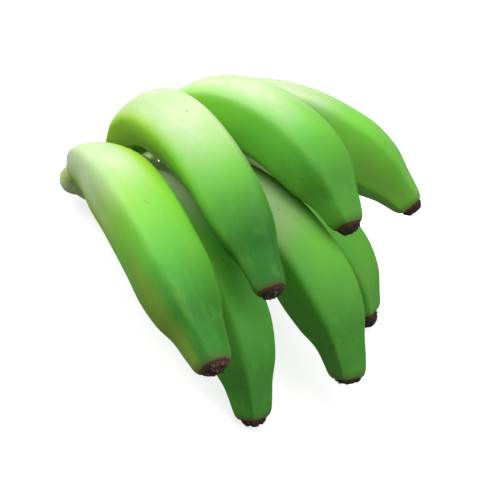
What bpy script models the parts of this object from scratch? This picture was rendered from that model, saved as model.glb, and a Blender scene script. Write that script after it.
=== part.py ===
"""A hand of seven green bananas, cut from its stem and stood down on its crown and two fingertips.

The hand is built in its own frame: X across the hand, Y out from the stem that it grew on, and
Z towards the convex backs of the upper row. An empty then stands the finished hand on the
surface, with +Z up and the origin under the middle of its box. Lengths are in metres.
"""

import math

import bmesh
import bpy
import numpy as np
from mathutils import Euler, Matrix, Vector

MM = 0.001
GAP = 0.3 * MM
ON_PLANE = 0.0001 * MM
SHARP_EDGE = math.radians(55)

# Crown: the curved pad of stem tissue that the finger stalks grow from, cut off flat behind
STEM_TO_STALKS = 48 * MM
PAD_MID_RADIUS = 41 * MM
PAD_HALF_DEPTH = 14.5 * MM
PAD_HALF_HEIGHT = 18 * MM
PAD_MID_HEIGHT = 1.5 * MM
PAD_FIRST_ANGLE = -28
PAD_LAST_ANGLE = 57
PAD_STATIONS = 17
PAD_SIDES = 16
PAD_END_ROUNDING = (2.2, 0.5)
PAD_END_REACH = 0.99
CUT_ANGLE = 18
STEM_TO_CUT = 30 * MM
STALK_ROOT_INSET = 14
STALK_FLARE = 1.1

# Webs: tissue that fills the crotch between a stalk of one row and its neighbours of the other
WEBBED = ("upper_1", "lower_1", "upper_2", "lower_2", "upper_3", "lower_3", "upper_4")
WEB_SIDES = 10
WEB_PROFILE = ((0.0, 7.0), (0.035, 6.0), (0.055, 3.0))  # fraction of the finger, half thickness in mm

# Fingers: sizes shared by all seven, as fractions of each finger's length and radius
STALK_END = 0.07
STALK_FADE = 0.3
TIP_START = 0.88
FINGER_STATIONS = 25
FINGER_SIDES = 20
SPINE_STEPS = 96
GIRTH = (
    (0.00, 0.36), (0.07, 0.36), (0.16, 0.58), (0.26, 0.76), (0.38, 0.96), (0.52, 1.00),
    (0.66, 0.98), (0.76, 0.95), (0.83, 0.82), (0.89, 0.61), (0.94, 0.52), (1.00, 0.43),
)
RIDGES = 5
RIDGE_SHARPNESS = 11
RIDGE_STRENGTH = ((0.00, 0.3), (0.15, 0.8), (0.50, 1.0), (0.80, 1.0), (1.00, 0.5))

# The skin rolls in over the last few millimetres before the dry tip
SHOULDER_LENGTH = 5 * MM
SHOULDER_WIDTH = 0.78
SHOULDER_STEPS = (0.45, 0.75, 0.93, 1.0)

# Each finger, in millimetres and degrees: its seat round the crown and height on it, the way it
# fans out, the climb of its stalk, how far it bends down and how early, its lean, its length
# along the curve, its radius, how thick its stalk and how wide its tip are against the others',
# the length of its dry tip, the place and twist of its first ridge, and how unevenly its ridges
# are spaced, with how far from the first ridge they are widest apart
FINGERS = {
    "upper_1": dict(seat=53, rise=5, fan=39.5, climb=24.5, bend=82, early=2.3, lean=-4,
                    length=213.5, radius=19.5, stalk=1.18, tip=1.02, tip_length=3,
                    ridge=48, twist=-25, broad=25, middle=0),
    "upper_2": dict(seat=22, rise=10.5, fan=29.5, climb=42.5, bend=112, early=1.85, lean=-8.5,
                    length=209, radius=18.7, stalk=1.05, tip=1.04, tip_length=3.5,
                    ridge=80, twist=5, broad=18, middle=-36),
    "upper_3": dict(seat=8, rise=8.5, fan=8, climb=34.5, bend=111.5, early=1.2, lean=-12,
                    length=199, radius=20.3, stalk=1.0, tip=0.90, tip_length=4,
                    ridge=65, twist=0, broad=8, middle=-36),
    "upper_4": dict(seat=-15, rise=9.5, fan=-13.5, climb=27.5, bend=94.5, early=1.4, lean=6,
                    length=204, radius=22.3, stalk=1.0, tip=0.86, tip_length=5,
                    ridge=45, twist=0, broad=7, middle=-36),
    "lower_1": dict(seat=31, rise=-7.5, fan=29, climb=5, bend=103.5, early=1.2, lean=-7,
                    length=208, radius=19.2, stalk=1.2, tip=1.02, tip_length=5,
                    ridge=32, twist=0, broad=5, middle=-36),
    "lower_2": dict(seat=9.5, rise=-7.5, fan=13, climb=0.5, bend=102, early=0.88, lean=-5,
                    length=215, radius=21.4, stalk=1.0, tip=1.00, tip_length=3.5,
                    ridge=69, twist=0, broad=5, middle=-36),
    "lower_3": dict(seat=-7, rise=-8.5, fan=-5, climb=5.5, bend=98.5, early=1.3, lean=12.5,
                    length=196, radius=20.6, stalk=1.0, tip=0.84, tip_length=10,
                    ridge=54, twist=0, broad=3, middle=-36),
}

# Dry blossom ends: the lumpy dark scar that closes each finger
TIP_SIDES = 12
TIP_OUTLINE = ((0.0, 0.97), (0.3, 0.98), (0.65, 0.87), (0.9, 0.66), (1.0, 0.42))
TIP_LUMPS = 0.06

# Standing: the turn that brings the hand near its rest, and how far the three contacts press in
STANDING_TURN = (45, 0, 0)
HEADING = -93  # degrees from +Y towards -X, seen from above, so the fingers point along +X
STANDING_ROUNDS = 8
PRESS = 0.9 * MM
CONTACTS = ("crown", "lower_1_tip", "lower_3_tip")


def clear_scene():
    """Removes what the file starts with."""
    for item in list(bpy.data.objects):
        bpy.data.objects.remove(item, do_unlink=True)


def through(knots, values):
    """Reads a smooth curve through the (place, height) knots at the given places."""
    places, heights = np.array(knots, float).T
    slopes = np.gradient(heights, places)
    left = np.clip(np.searchsorted(places, values, side="right") - 1, 0, len(places) - 2)
    width = places[left + 1] - places[left]
    step = (values - places[left]) / width
    away = 1 - step
    start = away ** 2 * ((1 + 2 * step) * heights[left] + step * width * slopes[left])
    end = step ** 2 * ((3 - 2 * step) * heights[left + 1] - away * width * slopes[left + 1])
    return start + end


def material(name, colour, roughness):
    """A plain Principled finish."""
    finish = bpy.data.materials.new(name)
    finish.use_nodes = True
    shader = finish.node_tree.nodes["Principled BSDF"]
    shader.inputs["Base Color"].default_value = (*colour, 1)
    shader.inputs["Roughness"].default_value = roughness
    shader.inputs["Metallic"].default_value = 0
    finish.diffuse_color = (*colour, 1)
    return finish


def around_stem(radius, angle, height):
    """A point of the hand, from its distance from the stem's middle, its angle and its height."""
    turn = math.radians(angle)
    return np.array([radius * math.sin(turn), radius * math.cos(turn) - STEM_TO_STALKS, height])


def spine(finger, stations):
    """Middle line of a finger: its points, headings and outward directions, and its side direction."""
    fine = np.linspace(0, 1, SPINE_STEPS + 1)
    pitch = np.radians(finger["climb"] - finger["bend"] * (1 - (1 - fine) ** finger["early"]))
    fan, lean = math.radians(finger["fan"]), math.radians(finger["lean"])
    ahead = np.array([math.sin(fan), math.cos(fan), 0])
    across = np.array([math.cos(fan), -math.sin(fan), 0])
    up = np.array([0, 0, 1]) * math.cos(lean) + across * math.sin(lean)
    headings = np.outer(np.cos(pitch), ahead) + np.outer(np.sin(pitch), up)
    steps = (headings[1:] + headings[:-1]) / 2 * finger["length"] * MM / SPINE_STEPS
    start = around_stem(STEM_TO_STALKS, finger["seat"], finger["rise"] * MM)
    points = start + np.vstack([np.zeros(3), np.cumsum(steps, axis=0)])
    here = np.array([np.interp(stations, fine, column) for column in points.T]).T
    tilt = np.interp(stations, fine, pitch)
    heading = np.outer(np.cos(tilt), ahead) + np.outer(np.sin(tilt), up)
    outward = np.outer(-np.sin(tilt), ahead) + np.outer(np.cos(tilt), up)
    return here, heading, outward, np.cross(ahead, up)


def five_sided(steps):
    """Relative radius of a rounded five-sided section, about 1 on average and largest on its ridges."""
    faces = (np.arange(RIDGES) + 0.5) * 2 * math.pi / RIDGES
    facing = np.maximum(0, np.cos(steps[:, None] - faces))
    reach = (facing ** RIDGE_SHARPNESS).sum(axis=-1) ** (-1 / RIDGE_SHARPNESS)
    return reach / reach.mean()


def skin_end(finger):
    """Fraction of a finger's length at which its skin stops and its dry tip begins."""
    return 1 - finger["tip_length"] / finger["length"]


def shoulder_start(finger):
    """Fraction of a finger's length at which its skin begins to roll in."""
    return skin_end(finger) - SHOULDER_LENGTH / (finger["length"] * MM)


def girth(finger, stations):
    """Mean radius of a finger at each station along it."""
    at_stalk = np.clip(1 - stations / STALK_FADE, 0, 1)
    at_tip = np.clip((stations - TIP_START) / (1 - TIP_START), 0, 1)
    taper = 1 + (finger["stalk"] - 1) * at_stalk + (finger["tip"] - 1) * at_tip
    begin, end = shoulder_start(finger), skin_end(finger)
    rolled = np.clip((stations - begin) / (end - begin), 0, 1)
    shoulder = SHOULDER_WIDTH + (1 - SHOULDER_WIDTH) * np.sqrt(1 - rolled ** 2)
    return finger["radius"] * MM * through(GIRTH, stations) * taper * shoulder


def skin_rings(finger, stations, sides):
    """Rings of points on a finger's skin, with the first point of each on the first ridge."""
    steps = np.linspace(0, 2 * math.pi, sides, endpoint=False)
    broad, middle = math.radians(finger["broad"]), math.radians(finger["middle"])
    from_ridge = steps + broad * (np.sin(steps - middle) + math.sin(middle))
    first_ridge = np.radians(finger["ridge"] + finger["twist"] * stations)
    angles = (from_ridge + first_ridge[:, None])[..., None]
    strength = through(RIDGE_STRENGTH, stations)[:, None]
    reach = girth(finger, stations)[:, None] * (1 + strength * (five_sided(steps) - 1))
    here, _, outward, side = spine(finger, stations)
    around = np.cos(angles) * outward[:, None, :] + np.sin(angles) * side
    return here[:, None, :] + around * reach[..., None]


def tube(name, rings, finish):
    """A closed solid through rings of points, with flat or round ends as the rings give them."""
    shape = bmesh.new()
    rows = [[shape.verts.new(point) for point in ring] for ring in rings]
    for near, far in zip(rows, rows[1:]):
        for place, corner in enumerate(near):
            after = (place + 1) % len(near)
            shape.faces.new((corner, near[after], far[after], far[place]))
    shape.faces.new(rows[0][::-1])
    shape.faces.new(rows[-1])
    bmesh.ops.recalc_face_normals(shape, faces=shape.faces)
    mesh = bpy.data.meshes.new(name)
    shape.to_mesh(mesh)
    shape.free()
    mesh.materials.append(finish)
    mesh.shade_smooth()
    mesh.set_sharp_from_angle(angle=SHARP_EDGE)
    piece = bpy.data.objects.new(name, mesh)
    bpy.context.scene.collection.objects.link(piece)
    return piece


def fuse(piece, others):
    """Joins other solids into a piece with one Boolean union, and removes them."""
    group = bpy.data.collections.new("to_fuse")
    for other in others:
        group.objects.link(other)
    union = piece.modifiers.new("union", "BOOLEAN")
    union.operation = "UNION"
    union.solver = "EXACT"
    union.operand_type = "COLLECTION"
    union.collection = group
    bpy.context.view_layer.update()
    result = bpy.data.meshes.new_from_object(piece.evaluated_get(bpy.context.evaluated_depsgraph_get()))
    piece.modifiers.remove(union)
    piece.data = result
    for other in others:
        bpy.data.objects.remove(other, do_unlink=True)
    bpy.data.collections.remove(group)


def slice_flat(piece, point, outward):
    """Cuts away what lies beyond a plane and closes the cut with one flat face."""
    shape = bmesh.new()
    shape.from_mesh(piece.data)
    cells = shape.verts[:] + shape.edges[:] + shape.faces[:]
    cut = bmesh.ops.bisect_plane(
        shape, geom=cells, dist=ON_PLANE, plane_co=point, plane_no=outward, clear_outer=True)
    rim = [cell for cell in cut["geom_cut"] if isinstance(cell, bmesh.types.BMEdge)]
    bmesh.ops.holes_fill(shape, edges=rim, sides=0)
    bmesh.ops.recalc_face_normals(shape, faces=shape.faces)
    shape.to_mesh(piece.data)
    shape.free()
    piece.data.shade_smooth()
    piece.data.set_sharp_from_angle(angle=SHARP_EDGE)


def crown(finish):
    """The crown: a bent pad with rounded ends, the seven stalks grown out of it, and the flat cut."""
    turns = np.linspace(0, 2 * math.pi, PAD_SIDES, endpoint=False)
    middle = (PAD_FIRST_ANGLE + PAD_LAST_ANGLE) / 2
    half_span = (PAD_LAST_ANGLE - PAD_FIRST_ANGLE) / 2
    rings = []
    bulge, rounding = PAD_END_ROUNDING
    for way in np.sin(np.linspace(-math.pi / 2, math.pi / 2, PAD_STATIONS)) * PAD_END_REACH:
        fullness = (1 - abs(way) ** bulge) ** rounding
        ring = []
        for turn in turns:
            radius = PAD_MID_RADIUS + PAD_HALF_DEPTH * fullness * math.cos(turn)
            height = PAD_MID_HEIGHT + PAD_HALF_HEIGHT * fullness * math.sin(turn)
            ring.append(around_stem(radius, middle + half_span * way, height))
        rings.append(ring)
    pad = tube("crown", rings, finish)
    stalks = [stalk(name, finger, finish) for name, finger in FINGERS.items()]
    webs = [web(first, second, finish) for first, second in zip(WEBBED, WEBBED[1:])]
    fuse(pad, stalks + webs)
    facing = math.radians(CUT_ANGLE)
    behind = Vector((-math.sin(facing), -math.cos(facing), 0))
    slice_flat(pad, Vector(around_stem(STEM_TO_CUT, CUT_ANGLE, 0)), behind)
    return pad


def stalk(name, finger, finish):
    """The short stalk that the crown and one finger share, flared where it leaves the pad."""
    stations = np.array([0, STALK_END * 0.5, STALK_END])
    rings = skin_rings(finger, stations, FINGER_SIDES)
    seat = around_stem(STEM_TO_STALKS, finger["seat"], finger["rise"] * MM)
    lowest, highest = PAD_FIRST_ANGLE + STALK_ROOT_INSET, PAD_LAST_ANGLE - STALK_ROOT_INSET
    root_angle = min(max(finger["seat"], lowest), highest)
    root_centre = around_stem(PAD_MID_RADIUS, root_angle, (PAD_MID_HEIGHT + finger["rise"] * MM) / 2)
    root = rings[0] - seat + root_centre
    return tube(name + "_stalk", [root, seat + (rings[0] - seat) * STALK_FLARE, *rings[1:]], finish)


def web(first, second, finish):
    """The tissue between two neighbouring stalks, thinning out along them."""
    stations, half_thick = np.array(WEB_PROFILE).T
    here, heading, _, _ = spine(FINGERS[first], stations)
    there, other_heading, _, _ = spine(FINGERS[second], stations)
    reach = (there - here) / 2
    flat = np.cross(heading + other_heading, reach)
    flat = flat / np.linalg.norm(flat, axis=1)[:, None] * half_thick[:, None] * MM
    angles = np.linspace(0, 2 * math.pi, WEB_SIDES, endpoint=False)[:, None]
    rings = (here + there)[:, None] / 2 + np.cos(angles) * reach[:, None] + np.sin(angles) * flat[:, None]
    return tube(f"{first}_{second}_web", rings, finish)


def fruit(name, finger, finish):
    """One finger's skin, from where its stalk leaves the crown to its blossom end."""
    start = STALK_END + GAP / (finger["length"] * MM)
    begin, end = shoulder_start(finger), skin_end(finger)
    shoulder = begin + (end - begin) * np.array(SHOULDER_STEPS)
    stations = np.concatenate([np.linspace(start, begin, FINGER_STATIONS), shoulder])
    return tube(name + "_finger", skin_rings(finger, stations, FINGER_SIDES), finish)


def tip(name, finger, finish, seed):
    """The dry blossom end: a low lumpy cap on the end of the finger."""
    draw = np.random.default_rng(seed)
    end = np.array([skin_end(finger)])
    here, heading, _, _ = spine(finger, end)
    edge = skin_rings(finger, end, TIP_SIDES)[0] - here[0]
    rings = []
    for rise, width in TIP_OUTLINE:
        lumps = 1 + TIP_LUMPS * draw.uniform(-1, 1, TIP_SIDES) * min(1, rise * 4)
        centre = here[0] + heading[0] * (GAP + rise * finger["tip_length"] * MM)
        rings.append(centre + edge * (width * lumps)[:, None])
    return tube(name + "_tip", rings, finish)


def stand(pieces, frame):
    """Stands the hand on its three contacts, turns it to its heading and centres its box."""
    corners = {name: np.array([vertex.co[:] for vertex in piece.data.vertices])
               for name, piece in pieces.items()}
    turn = Euler([math.radians(angle) for angle in STANDING_TURN]).to_matrix()
    for _ in range(STANDING_ROUNDS):
        rotation = np.array(turn)
        low = [Vector(corners[name][np.argmin(corners[name] @ rotation[2])]) for name in CONTACTS]
        normal = (low[1] - low[0]).cross(low[2] - low[0]).normalized()
        if (turn @ normal).z < 0:
            normal.negate()
        turn = (turn @ normal).rotation_difference(Vector((0, 0, 1))).to_matrix() @ turn
    out = turn @ Vector((0, 1, 0))
    turn = Matrix.Rotation(math.radians(HEADING) + math.atan2(out.x, out.y), 3, "Z") @ turn
    everything = np.vstack(list(corners.values())) @ np.array(turn).T
    low, high = everything.min(axis=0), everything.max(axis=0)
    place = Vector((-(low[0] + high[0]) / 2, -(low[1] + high[1]) / 2, -low[2] - PRESS))
    frame.matrix_world = Matrix.Translation(place) @ turn.to_4x4()


def flatten_contacts(pieces, frame):
    """Flattens what presses on the surface."""
    back = frame.matrix_world.inverted()
    for name in CONTACTS:
        slice_flat(pieces[name], back.translation, back.to_3x3() @ Vector((0, 0, -1)))


clear_scene()
crown_finish = material("crown_tissue", (0.36, 0.40, 0.15), 0.7)
skin_finish = material("green_skin", (0.22, 0.50, 0.07), 0.4)
tip_finish = material("dry_tip", (0.045, 0.025, 0.018), 0.9)

hand = {"crown": crown(crown_finish)}
for number, (label, shape_of) in enumerate(FINGERS.items()):
    hand[label + "_finger"] = fruit(label, shape_of, skin_finish)
    hand[label + "_tip"] = tip(label, shape_of, tip_finish, seed=number)

stance = bpy.data.objects.new("stance", None)
bpy.context.scene.collection.objects.link(stance)
for part in hand.values():
    part.parent = stance
stand(hand, stance)
flatten_contacts(hand, stance)
bpy.context.view_layer.update()
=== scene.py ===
"""A hand of seven green bananas on a pale studio floor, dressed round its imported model.

Lengths are in metres, +Z is up, and the floor is at height 0. The fingers, their dry ends and the
crown follow the same growth rule as the solids, with finer surfaces and the finishes of the fruit.
"""

import math

import bpy
import numpy as np
from mathutils import Euler, Matrix, Vector


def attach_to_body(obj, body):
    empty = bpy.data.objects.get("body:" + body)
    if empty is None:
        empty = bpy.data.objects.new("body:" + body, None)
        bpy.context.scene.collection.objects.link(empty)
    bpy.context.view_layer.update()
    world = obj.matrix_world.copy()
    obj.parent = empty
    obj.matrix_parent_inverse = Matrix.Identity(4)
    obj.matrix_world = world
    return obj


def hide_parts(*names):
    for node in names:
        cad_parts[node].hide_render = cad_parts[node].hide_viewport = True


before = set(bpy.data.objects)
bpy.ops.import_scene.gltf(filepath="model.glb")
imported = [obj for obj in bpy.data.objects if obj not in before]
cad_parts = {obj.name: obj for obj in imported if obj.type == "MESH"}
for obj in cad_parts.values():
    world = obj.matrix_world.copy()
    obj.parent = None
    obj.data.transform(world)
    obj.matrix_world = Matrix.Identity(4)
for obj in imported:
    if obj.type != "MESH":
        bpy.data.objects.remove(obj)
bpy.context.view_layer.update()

# The standing hand
# The hand lies on its crown and two fingertips, as it would when it is put down. It grows in a
# frame of its own, X across it, Y out from the stem and Z towards the backs of its upper row.

MM = 0.001
STANCE_PLACE = Vector((-0.07303, 0.06277, 0.01873))
STANCE_ANGLES = (49.47, -10.014, -104.496)
STANCE = Matrix.LocRotScale(STANCE_PLACE, Euler([math.radians(angle) for angle in STANCE_ANGLES]), None)
STEM_TO_STALKS = 48 * MM


def around_stem(radius, angle, height):
    """A point of the hand, from its distance from the stem's middle, its angle and its height."""
    turn = math.radians(angle)
    return np.array([radius * math.sin(turn), radius * math.cos(turn) - STEM_TO_STALKS, height])


# Fingers
# Each finger is one angular green fruit: a thin stalk, a body with five soft ridges and a neck
# at the blossom end. Its skin is swept along the finger's bend and rolls in round the dry end.

FINGERS = {
    "upper_1": dict(seat=53, rise=5, fan=39.5, climb=24.5, bend=82, early=2.3, lean=-4,
                    length=213.5, radius=19.5, stalk=1.18, tip=1.02, tip_length=3,
                    ridge=48, twist=-25, broad=25, middle=0),
    "upper_2": dict(seat=22, rise=10.5, fan=29.5, climb=42.5, bend=112, early=1.85, lean=-8.5,
                    length=209, radius=18.7, stalk=1.05, tip=1.04, tip_length=3.5,
                    ridge=80, twist=5, broad=18, middle=-36),
    "upper_3": dict(seat=8, rise=8.5, fan=8, climb=34.5, bend=111.5, early=1.2, lean=-12,
                    length=199, radius=20.3, stalk=1.0, tip=0.90, tip_length=4,
                    ridge=65, twist=0, broad=8, middle=-36),
    "upper_4": dict(seat=-15, rise=9.5, fan=-13.5, climb=27.5, bend=94.5, early=1.4, lean=6,
                    length=204, radius=22.3, stalk=1.0, tip=0.86, tip_length=5,
                    ridge=45, twist=0, broad=7, middle=-36),
    "lower_1": dict(seat=31, rise=-7.5, fan=29, climb=5, bend=103.5, early=1.2, lean=-7,
                    length=208, radius=19.2, stalk=1.2, tip=1.02, tip_length=5,
                    ridge=32, twist=0, broad=5, middle=-36),
    "lower_2": dict(seat=9.5, rise=-7.5, fan=13, climb=0.5, bend=102, early=0.88, lean=-5,
                    length=215, radius=21.4, stalk=1.0, tip=1.00, tip_length=3.5,
                    ridge=69, twist=0, broad=5, middle=-36),
    "lower_3": dict(seat=-7, rise=-8.5, fan=-5, climb=5.5, bend=98.5, early=1.3, lean=12.5,
                    length=196, radius=20.6, stalk=1.0, tip=0.84, tip_length=10,
                    ridge=54, twist=0, broad=3, middle=-36),
}
# Share of the radius at each share of the length, and how clearly the ridges stand there
GIRTH = (
    (0.00, 0.36), (0.07, 0.36), (0.16, 0.58), (0.26, 0.76), (0.38, 0.96), (0.52, 1.00),
    (0.66, 0.98), (0.76, 0.95), (0.83, 0.82), (0.89, 0.61), (0.94, 0.52), (1.00, 0.43),
)
RIDGE_STRENGTH = ((0.00, 0.3), (0.15, 0.8), (0.50, 1.0), (0.80, 1.0), (0.92, 1.1), (1.00, 0.5))
RIDGES = 5
RIDGE_SHARPNESS = 12
STALK_FADE = 0.3
TIP_START = 0.88
CREASE_HEIGHT = 0.3 * MM
CREASE_WIDTH = math.radians(6)
SWELLING = 0.5 * MM
SPINE_STEPS = 384
SKIN_ROWS = 150
SKIN_SIDES = 120
SECTION_SAMPLES = 181
# Shares of the length where the skin comes out of the crown and where it has its full width, and
# its share of that width at first
SKIN_START = 0.045
SKIN_FULL = 0.085
SKIN_SUNK = 0.8
# It rolls in over the last few millimetres, and turns in over the edge of the dry end
SHOULDER_LENGTH = 5 * MM
SHOULDER_WIDTH = 0.78
SHOULDER_ROWS = 12
LIP = (  # mm ahead, share of the width
    (0.4, 0.97), (0.65, 0.92), (0.6, 0.86), (0.2, 0.8), (-0.6, 0.74),
)
# Each finger reads its patterns from another place, this much further on
OWN_PATTERN = (0.71, 0.37, 0.53)
SKIN_DEEP = (0.10, 0.44, 0.042, 1)
SKIN_BRIGHT = (0.17, 0.54, 0.042, 1)
SKIN_YELLOW = (0.35, 0.54, 0.015, 1)
# On the skin this cream is partly the pale stalk end and partly a painted highlight; on the crown it is the
# tissue's own colour
SKIN_CREAM = (0.45, 0.55, 0.31, 1)
# Olive painted shade, for the side away from the back
SKIN_OLIVE_SHADE = (0.19, 0.30, 0.03, 1)
# Deep green of the blossom end, darkened further as painted shade
SKIN_TIP_AND_SHADE = (0.018, 0.15, 0.016, 1)
SKIN_STREAK = (0.14, 0.46, 0.06, 1)
SKIN_RIDGE = (0.26, 0.36, 0.06, 1)
SKIN_SPECK = (0.06, 0.11, 0.02, 1)
SKIN_NECK = (0.10, 0.17, 0.035, 1)
LIP_BROWN = (0.11, 0.04, 0.02, 1)
# How much of each tone shows where it is strongest
YELLOW_SHOWS = 0.8
PATCHES_SHOW = 0.2
TIP_SHOWS = 0.95
MOTTLE_SHOWS = 0.2
STREAKS_SHOW = 0.1
WORN_RIDGE_SHOWS = 0.16
SPECKS_SHOW = 0.5
NECK_SHOWS = 0.6
# Patterns of the skin: how many waves along the finger for each one across it, waves a metre
# across it, detail and roughness
PATTERNS = {
    "drift": (0.35, 30, 2, 0.5),
    "wear": (0.50, 60, 3, 0.5),
    "patches": (0.50, 80, 3, 0.5),
    "mottle": (0.45, 190, 4, 0.6),
    "fibres": (0.05, 700, 2, 0.5),
    "pores": (0.25, 1100, 3, 0.6),
    "streaks": (0.03, 1500, 2, 0.6),
}
# The levels between which a pattern comes up in its tone
SEEN_BETWEEN = {
    "drift": (0.35, 0.65), "wear": (0.48, 0.64), "patches": (0.42, 0.66), "mottle": (0.45, 0.75),
    "streaks": (0.5, 0.8),
}
# Specks, and the places that have them
SPECK_SCALE = 170.0
SPECK_SIZE = (0.09, 0.16)
SPECKLED_SCALE = 45
SPECKLED_LEVELS = (0.5, 0.68)
# Waves a metre of the unevenness along the creases and over the whole fruit
CREASE_SCALE = 24
SWELLING_SCALE = 34
DIMPLE_SCALE = 170
# Where along the finger the yellow fades out, the tip darkens to deep green and painted shade and the
# painted olive shade begins, and how softly the cream and painted highlight end
YELLOW_FADES = (0.3, 0.75)
TIP_DARKENS = (0.6, 0.92)
OLIVE_SHADE_BEGINS = (0.4, 0.7)
CREAM_AND_HIGHLIGHT_EDGE = (-0.12, 0.1)
# How squarely a place faces the side with the painted highlight where it is cream, and the back where
# there is no painted olive shade
HIGHLIGHT_FACING = (0.1, 0.8)
BACK_FACING = (0.2, 0.7)
# Where a tint begins to fade from the lip, where it is gone, and how ragged that edge is
NECK_BAND = (0.5 * MM, 5.5 * MM, 4 * MM)
LIP_BAND = (0.1 * MM, 1.3 * MM, 1.2 * MM)
WAX_ROUGHNESS = (0.44, 0.58)
WAX_SHINE = 0.25
PORE_DEPTH = 0.12 * MM
# Share of the light that goes into the flesh, and how deep; its colours go in unequally
SKIN_GLOW = (0.12, 2.5 * MM)
FLESH_TINT = (0.6, 1.0, 0.25)
# How far along each finger the cream of its stalk end and its painted highlight reach, how yellow that end
# is, how strongly its blossom end darkens to deep green and painted shade, how strong the painted olive
# shade on the side away from its back is, and which side carries the painted highlight, in degrees
COLOURING = {
    "upper_1": (0.50, 1.0, 0.90, 0.75, 40),
    "upper_2": (0.64, 1.0, 1.00, 0.10, 5),
    "upper_3": (0.66, 0.3, 0.60, 0.10, -5),
    "upper_4": (0.62, 0.3, 0.15, 0.40, -10),
    "lower_1": (0.44, 0.0, 0.80, 0.00, 0),
    "lower_2": (0.58, 0.5, 0.65, 0.00, 60),
    "lower_3": (0.50, 0.2, 0.35, 0.00, -10),
}


def through(knots, values):
    """Reads a smooth curve through the (place, height) knots at the given places."""
    places, heights = np.array(knots, float).T
    slopes = np.gradient(heights, places)
    left = np.clip(np.searchsorted(places, values, side="right") - 1, 0, len(places) - 2)
    width = places[left + 1] - places[left]
    step = (values - places[left]) / width
    away = 1 - step
    start = away ** 2 * ((1 + 2 * step) * heights[left] + step * width * slopes[left])
    end = step ** 2 * ((3 - 2 * step) * heights[left + 1] - away * width * slopes[left + 1])
    return start + end


def spine(finger, stations):
    """Middle line of a finger: its points, headings and outward directions, and its side direction."""
    fine = np.linspace(0, 1, SPINE_STEPS + 1)
    pitch = np.radians(finger["climb"] - finger["bend"] * (1 - (1 - fine) ** finger["early"]))
    fan, lean = math.radians(finger["fan"]), math.radians(finger["lean"])
    ahead = np.array([math.sin(fan), math.cos(fan), 0])
    across = np.array([math.cos(fan), -math.sin(fan), 0])
    up = np.array([0, 0, 1]) * math.cos(lean) + across * math.sin(lean)
    headings = np.outer(np.cos(pitch), ahead) + np.outer(np.sin(pitch), up)
    steps = (headings[1:] + headings[:-1]) / 2 * finger["length"] * MM / SPINE_STEPS
    start = around_stem(STEM_TO_STALKS, finger["seat"], finger["rise"] * MM)
    points = start + np.vstack([np.zeros(3), np.cumsum(steps, axis=0)])
    here = np.array([np.interp(stations, fine, column) for column in points.T]).T
    tilt = np.interp(stations, fine, pitch)
    heading = np.outer(np.cos(tilt), ahead) + np.outer(np.sin(tilt), up)
    outward = np.outer(-np.sin(tilt), ahead) + np.outer(np.cos(tilt), up)
    return here, heading, outward, np.cross(ahead, up)


def skin_end(finger):
    """Fraction of a finger's length at which its skin stops and its dry tip begins."""
    return 1 - finger["tip_length"] / finger["length"]


def shoulder_start(finger):
    """Fraction of a finger's length at which its skin begins to roll in."""
    return skin_end(finger) - SHOULDER_LENGTH / (finger["length"] * MM)


def girth(finger, stations):
    """Mean radius of a finger at each station along it."""
    at_stalk = np.clip(1 - stations / STALK_FADE, 0, 1)
    at_tip = np.clip((stations - TIP_START) / (1 - TIP_START), 0, 1)
    taper = 1 + (finger["stalk"] - 1) * at_stalk + (finger["tip"] - 1) * at_tip
    begin, end = shoulder_start(finger), skin_end(finger)
    rolled = np.clip((stations - begin) / (end - begin), 0, 1)
    shoulder = SHOULDER_WIDTH + (1 - SHOULDER_WIDTH) * np.sqrt(1 - rolled ** 2)
    return finger["radius"] * MM * through(GIRTH, stations) * taper * shoulder


class Wire:
    """What a node gives. Sums and further nodes can be written with it."""

    def __init__(self, tree, socket):
        self.tree = tree
        self.socket = socket

    def other(self, name):
        """Another output of the same node."""
        return Wire(self.tree, shown(self.socket.node.outputs, name))

    def __add__(self, value):
        return calc("ADD", self, value)

    def __sub__(self, value):
        return calc("SUBTRACT", self, value)

    def __rsub__(self, value):
        return calc("SUBTRACT", value, self)

    def __mul__(self, value):
        return calc("MULTIPLY", self, value)

    def __truediv__(self, value):
        return calc("DIVIDE", self, value)

    def __pow__(self, value):
        return calc("POWER", self, value)

    __radd__ = __add__
    __rmul__ = __mul__


def shown(sockets, name):
    """The socket of that name which the node's settings leave in use."""
    return next(socket for socket in sockets if socket.enabled and socket.name == name)


def node(tree, kind, inputs=(), **settings):
    """Adds a node with its settings, fills its inputs in order or by name, and gives its first output."""
    made = tree.nodes.new(kind)
    for name, value in settings.items():
        setattr(made, name, value)
    pairs = inputs.items() if isinstance(inputs, dict) else enumerate(inputs)
    for key, value in pairs:
        socket = shown(made.inputs, key) if isinstance(key, str) else made.inputs[key]
        if isinstance(value, Wire):
            tree.links.new(value.socket, socket)
        else:
            socket.default_value = value
    return Wire(tree, next((socket for socket in made.outputs if socket.enabled), None))


def is_vector(value):
    """Whether a number or a wire holds three numbers."""
    return value.socket.type == "VECTOR" if isinstance(value, Wire) else not isinstance(value, (int, float))


def calc(operation, *values):
    """One sum: a Math node, or a Vector Math node where a value is a vector."""
    tree = next(value.tree for value in values if isinstance(value, Wire))
    vectors = [is_vector(value) for value in values]
    if not any(vectors):
        return node(tree, "ShaderNodeMath", values, operation=operation)
    if operation == "MULTIPLY" and not all(vectors):
        vector, size = values if vectors[0] else values[::-1]
        return node(tree, "ShaderNodeVectorMath", {"Vector": vector, "Scale": size}, operation="SCALE")
    return node(tree, "ShaderNodeVectorMath", values, operation=operation)


def fade(value, low, high, out_low=0.0, out_high=1.0):
    """Follows a value smoothly from one level to another between two bounds."""
    return node(value.tree, "ShaderNodeMapRange", {
        "Value": value, "From Min": low, "From Max": high, "To Min": out_low, "To Max": out_high,
    }, interpolation_type="SMOOTHSTEP")


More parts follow.
